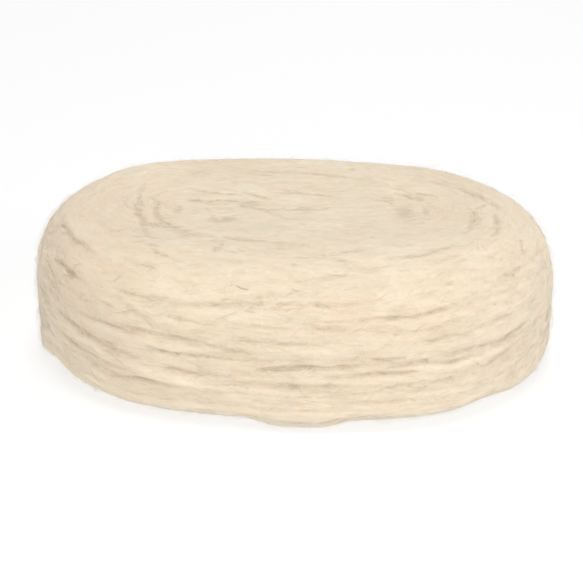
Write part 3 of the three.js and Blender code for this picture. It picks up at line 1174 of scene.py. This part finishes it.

# %% [markdown]
# ## Hairs placed one by one
# A few single hairs and flecks catch the eye: a speck on the front shoulder, a long hair hanging
# over the left end, loops of loose fibre above the fold and a dark tuft at the back rim. Chance
# would never put one just there. So each is a short path over the plate, in degrees and
# millimetres like the folds, with its own thickness and tone, and a tree lays the paths down on
# the finished wool and sweeps them into tubes.

# %% The paths of single hairs
SINGLE_HAIRS = [
    # thickness, tone from light to dark, places as angle and distance across
    (0.30, 0.9, ((265.2, 46.5), (266.0, 47.3), (266.7, 47.5))),
    (0.14, 0.8, ((276.3, 41.9), (277.3, 42.1), (278.3, 42.1))),
    (0.06, 0.7, ((231, 51), (234, 57), (235, 66), (235, 76))),
    (0.06, 0.8, ((204, 55), (206, 51.5), (211, 49.5), (217, 48.5))),
    (0.06, 0.8, ((205, 57), (212, 53), (218, 51.2), (221, 52.5))),
    (0.24, 0.8, ((122, 35.3), (119, 36.2), (116.5, 36.6))),
    (0.08, 0.8, ((229, 33.2), (232, 32.2), (235, 30.6))),
    (0.12, 0.8, ((233.8, 30.0), (233.0, 32.6))),
    (0.12, 0.8, ((275.2, 58.0), (275.3, 59.8))),
    (0.09, 0.0, ((272.4, 73.8), (273.6, 71.4))),
    (0.09, 0.0, ((273.0, 74.0), (274.2, 71.6))),
    (0.12, 1.0, ((314, 70.2), (316, 69.6), (317, 69.7))),
    (0.12, 1.0, ((317, 69.3), (320, 69.0), (321, 68.4))),
    (0.22, 0.8, ((309.2, 57.2), (309.8, 57.5))),
    (0.22, 0.8, ((316.2, 51.5), (316.9, 51.6))),
    (0.22, 0.8, ((319.2, 81.2), (319.8, 81.4))),
    (0.24, 0.9, ((258.0, 69.7), (258.4, 69.8))),
    (0.18, 0.8, ((265.2, 79.0), (265.6, 79.0))),
    (0.18, 0.8, ((266.7, 79.7), (267.1, 79.7))),
    (0.12, 0.9, ((268.8, 73.1), (270.2, 73.0), (271.5, 72.8))),
    (0.07, 0.1, ((270.8, 37.0), (271.6, 38.0), (272.3, 39.4))),
    (0.10, 0.8, ((253.2, 53.6), (254.6, 53.3))),
    (0.10, 0.8, ((252.8, 63.0), (254.0, 63.2), (256.0, 63.5))),
]


def hair_paths():
    """The listed hairs as a mesh of bare edges that carries thickness and tone."""
    places, edges, thickness, tones = [], [], [], []
    for thick, tone, path in SINGLE_HAIRS:
        for number, (degrees, out) in enumerate(path):
            if number:
                edges.append((len(places) - 1, len(places)))
            places.append(skin_points(np.array(out * MM), np.array(math.radians(degrees))).tolist())
            thickness.append(thick * MM)
            tones.append(tone)
    mesh = bpy.data.meshes.new("hair paths")
    mesh.from_pydata(places, edges, [])
    for name, values in {"thickness": thickness, "tone": tones}.items():
        mesh.attributes.new(name, "FLOAT", "POINT").data.foreach_set("value", values)
    return mesh


# %% Lay the single hairs
def single_hair_tree():
    tree, given, result = new_tree("single hairs", {"Object": ("Plate",), "Int": ("Points",)})
    surface = add(tree, "GeometryNodeObjectInfo", {"Object": given["Plate"]}, output="Geometry")
    paths = add(tree, "GeometryNodeMeshToCurve", {"Mesh": given["Geometry"]})
    paths = add(tree, "GeometryNodeCurveSplineType", {"Curve": paths}, spline_type="CATMULL_ROM")
    paths = add(tree, "GeometryNodeResampleCurve", {"Curve": paths, "Count": given["Points"]})
    place = add(tree, "GeometryNodeInputPosition")
    seated = moved(paths, "Position", nearest(surface, place, place))
    tubes = swept(seated, carried(tree, "thickness"), fuller=0.5, sides=5)
    finish_tree(tubes, given["Material"], result)
    return tree


settings = {"Plate": plate, "Points": 14, "Material": stray_fibre}
hairs = grow("single_hairs", hair_paths(), single_hair_tree(), settings)
print(f"{len(SINGLE_HAIRS)} hairs have {len(hairs.data.polygons)} faces")
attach(hairs, "root")

# %% [markdown]
# ## Floor and light
# A pale floor and large soft lights leave the wool to speak for itself. The two strongest lights
# are in front and overhead, a weaker one is at the right, so that the left end falls into a mild
# shade, and one at the back lightens the far rim. A picture of a room could light the plate too,
# but lamps are easier to weigh against each other.

# %% The floor
FLOOR_REACH = 6.0
corners = [(x * FLOOR_REACH, y * FLOOR_REACH, 0) for x, y in ((-1, -1), (1, -1), (1, 1), (-1, 1))]
floor = in_scene("floor", bpy.data.meshes.new("floor"))
floor.data.from_pydata(corners, [], [(0, 1, 2, 3)])
pale_floor, _, shader = new_material("pale floor")
set_sockets(shader, {
    "Base Color": (0.35, 0.35, 0.35, 1),
    "Roughness": 0.9,
    "Emission Color": (1, 1, 1, 1),
    "Emission Strength": 0.66,
})
floor.data.materials.append(pale_floor)
print(f"the floor reaches {FLOOR_REACH:.0f} m to each side")

# %% Lights and background
LIGHT_AIM = (0, 0, 0.02)
LIGHT_SIZE = 0.8
SOFT_LIGHTS = [
    # name, place, power
    ("front light", (0.0, -1.34, 0.78), 10.7),
    ("right light", (1.16, -0.67, 0.78), 5.0),
    ("overhead light", (0.0, -0.14, 1.54), 10.2),
    ("back light", (0.0, 1.19, 1.00), 4.9),
]
for name, place, power in SOFT_LIGHTS:
    lamp = bpy.data.lights.new(name, "AREA")
    lamp.shape = "DISK"
    lamp.size = LIGHT_SIZE
    lamp.energy = power
    light = in_scene(name, lamp)
    light.location = place
    light.rotation_euler = facing(place, LIGHT_AIM)
world = bpy.data.worlds.new("studio")
world.use_nodes = True
set_sockets(world.node_tree.nodes["Background"], {"Color": (1, 1, 1, 1), "Strength": 0.14})
bpy.context.scene.world = world
bpy.context.scene.view_settings.view_transform = "Standard"
print(f"{len(SOFT_LIGHTS)} soft lights shine on the plate")
